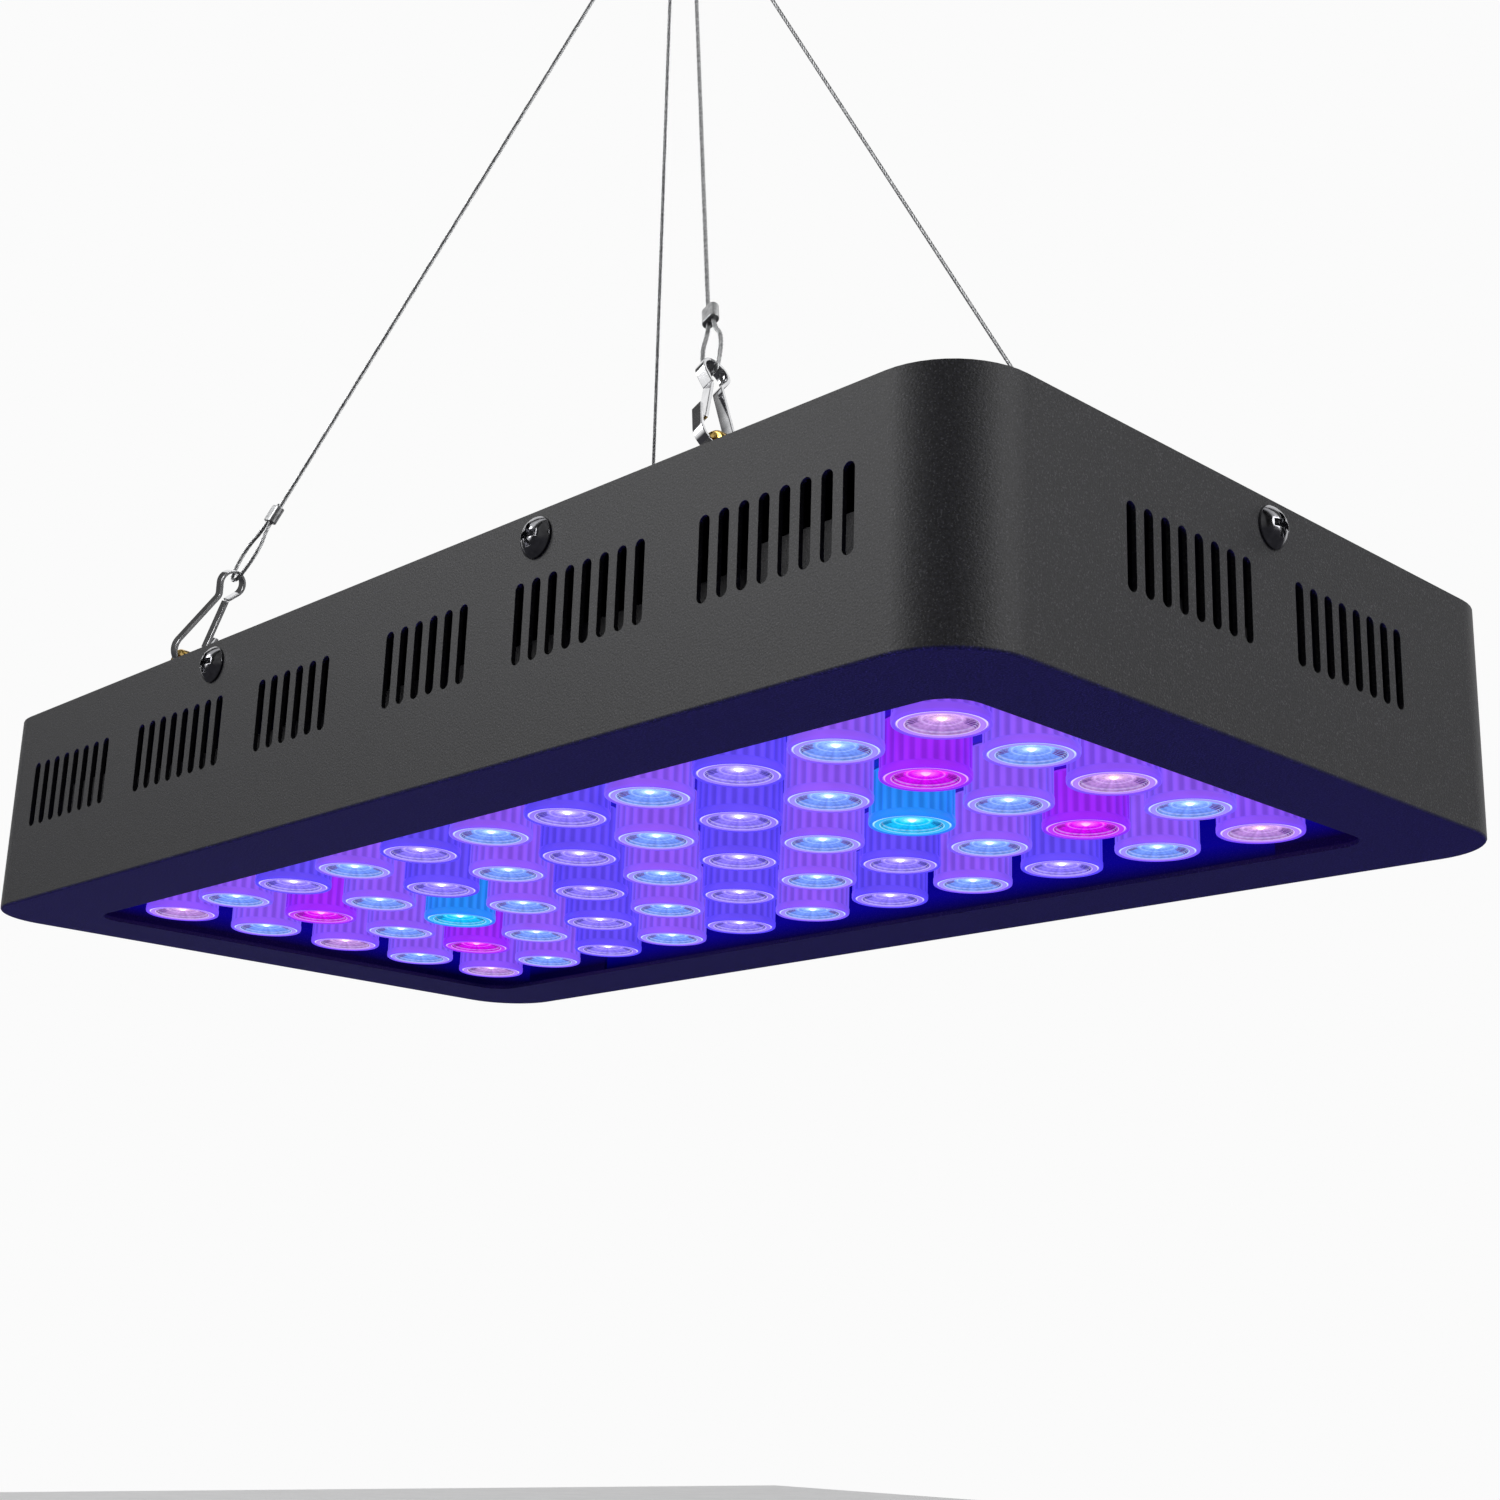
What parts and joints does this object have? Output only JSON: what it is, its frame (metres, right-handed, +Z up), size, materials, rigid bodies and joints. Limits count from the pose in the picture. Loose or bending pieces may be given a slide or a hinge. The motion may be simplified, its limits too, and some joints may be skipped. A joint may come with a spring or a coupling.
{
  "type": "led aquarium light",
  "caption": "Hanging reef aquarium light: a black slotted metal case with a window of round lensed LEDs, held by wire ropes and snap hooks from one ring.",
  "frame": {"origin": "inside of the hanging ring's top, where the ceiling hook bears", "axes": "+X along the case to the end without inlets, +Y across the case to its back, +Z up"},
  "size_m": [0.4208, 0.2186, 0.3616],
  "materials": {
    "case_black": "gritty powder coat, matt",
    "screw_black": "black zinc, glossy",
    "board_white": "white solder mask on an aluminium core",
    "sink_aluminium": "extruded, black anodised",
    "driver_case": "drawn aluminium case",
    "inlet_black": "moulded, satin",
    "pot_metal": "plated",
    "plated_steel": "zinc plated",
    "terminal_white": "moulded",
    "contact_brass": "stamped",
    "anchor_brass": "turned, polished",
    "ferrule_aluminium": "crimped",
    "chrome_ring": "chromed steel wire",
    "lens_cup": "clear ribbed acrylic",
    "lens_optic": "clear acrylic",
    "fan_black": "moulded",
    "guard_chrome": "plated wire",
    "knob_black": "moulded, fluted",
    "hook_chrome": "nickel-plated spring strip",
    "rope_steel": "stranded steel",
    "led_blue": "lit emitter",
    "led_cool_white": "lit emitter",
    "led_warm_white": "lit emitter",
    "led_red": "lit emitter",
    "led_cyan": "lit emitter"
  },
  "bodies": {
    "ring": {"hanging_ring": "chrome_ring"},
    "light": {"case_shell": "case_black", "top_lid": "case_black", "corner_brackets": "case_black", "case_screws": "screw_black", "led_board": "board_white", "heat_sink": "sink_aluminium", "board_screws": "screw_black", "fan_screws": "screw_black", "led_drivers": "driver_case", "power_inlets": "inlet_black", "dimmer_pots": "pot_metal", "pot_nuts": "plated_steel", "driver_screws": "screw_black", "terminal_block": "terminal_white", "inlet_pins": "contact_brass", "inlet_screws": "screw_black", "hanging_anchors": "anchor_brass", "anchor_nuts": "anchor_brass", "lower_ferrules": "ferrule_aluminium", "upper_ferrules": "ferrule_aluminium", "lens_cups_row_1": "lens_cup", "lens_cups_row_2": "lens_cup", "lens_cups_row_3": "lens_cup", "lens_cups_row_4": "lens_cup", "lens_cups_row_5": "lens_cup", "lens_optics_blue": "lens_optic", "lens_optics_cool_white": "lens_optic", "lens_optics_warm_white": "lens_optic", "lens_optics_red": "lens_optic", "lens_optics_cyan": "lens_optic", "leds_blue": "led_blue", "leds_cool_white": "led_cool_white", "leds_warm_white": "led_warm_white", "leds_red": "led_red", "leds_cyan": "led_cyan", "fan_frame_left": "fan_black", "finger_guard_left": "guard_chrome", "fan_frame_right": "fan_black", "finger_guard_right": "guard_chrome", "snap_hook_front_left": "hook_chrome", "wire_rope_front_left": "rope_steel", "snap_hook_front_right": "hook_chrome", "wire_rope_front_right": "rope_steel", "snap_hook_back_left": "hook_chrome", "wire_rope_back_left": "rope_steel", "snap_hook_back_right": "hook_chrome", "wire_rope_back_right": "rope_steel"},
    "latch_front_left": {"snap_latch_front_left": "hook_chrome"},
    "latch_front_right": {"snap_latch_front_right": "hook_chrome"},
    "latch_back_left": {"snap_latch_back_left": "hook_chrome"},
    "latch_back_right": {"snap_latch_back_right": "hook_chrome"},
    "fan_left": {"fan_rotor_left": "fan_black"},
    "fan_right": {"fan_rotor_right": "fan_black"},
    "dimmer_front": {"pot_shaft_front": "pot_metal", "dimmer_knob_front": "knob_black"},
    "dimmer_back": {"pot_shaft_back": "pot_metal", "dimmer_knob_back": "knob_black"}
  },
  "joints": [
    {"name": "light_swing", "type": "hinge", "parent": "ring", "child": "light", "pos_m": [0, 0, -0.0184], "axis": [1, 0, 0], "range_deg": [-15, 15]},
    {"name": "latch_front_left", "type": "hinge", "parent": "light", "child": "latch_front_left", "pos_m": [-0.09708, -0.08337, -0.2712], "axis": [-0.9401, 0, 0.3409], "range_deg": [0, 12], "stiffness_Nm_per_rad": 0.15},
    {"name": "latch_front_right", "type": "hinge", "parent": "light", "child": "latch_front_right", "pos_m": [0.11733, -0.08622, -0.27095], "axis": [0.9142, 0, 0.4052], "range_deg": [0, 12], "stiffness_Nm_per_rad": 0.15},
    {"name": "latch_back_left", "type": "hinge", "parent": "light", "child": "latch_back_left", "pos_m": [-0.0969, 0.08339, -0.27126], "axis": [0.9371, 0, -0.3491], "range_deg": [0, 12], "stiffness_Nm_per_rad": 0.15},
    {"name": "latch_back_right", "type": "hinge", "parent": "light", "child": "latch_back_right", "pos_m": [0.11715, 0.08624, -0.27102], "axis": [-0.9109, 0, -0.4127], "range_deg": [0, 12], "stiffness_Nm_per_rad": 0.15},
    {"name": "fan_spin_left", "type": "hinge", "parent": "light", "child": "fan_left", "pos_m": [-0.101, 0, -0.3066], "axis": [0, 0, 1], "continuous": true},
    {"name": "fan_spin_right", "type": "hinge", "parent": "light", "child": "fan_right", "pos_m": [0.123, 0, -0.3066], "axis": [0, 0, 1], "continuous": true},
    {"name": "dimmer_turn_front", "type": "hinge", "parent": "light", "child": "dimmer_front", "pos_m": [-0.194, -0.012, -0.3254], "axis": [-1, 0, 0], "range_deg": [-150, 150]},
    {"name": "dimmer_turn_back", "type": "hinge", "parent": "light", "child": "dimmer_back", "pos_m": [-0.194, 0.012, -0.3254], "axis": [-1, 0, 0], "range_deg": [-150, 150]}
  ]
}
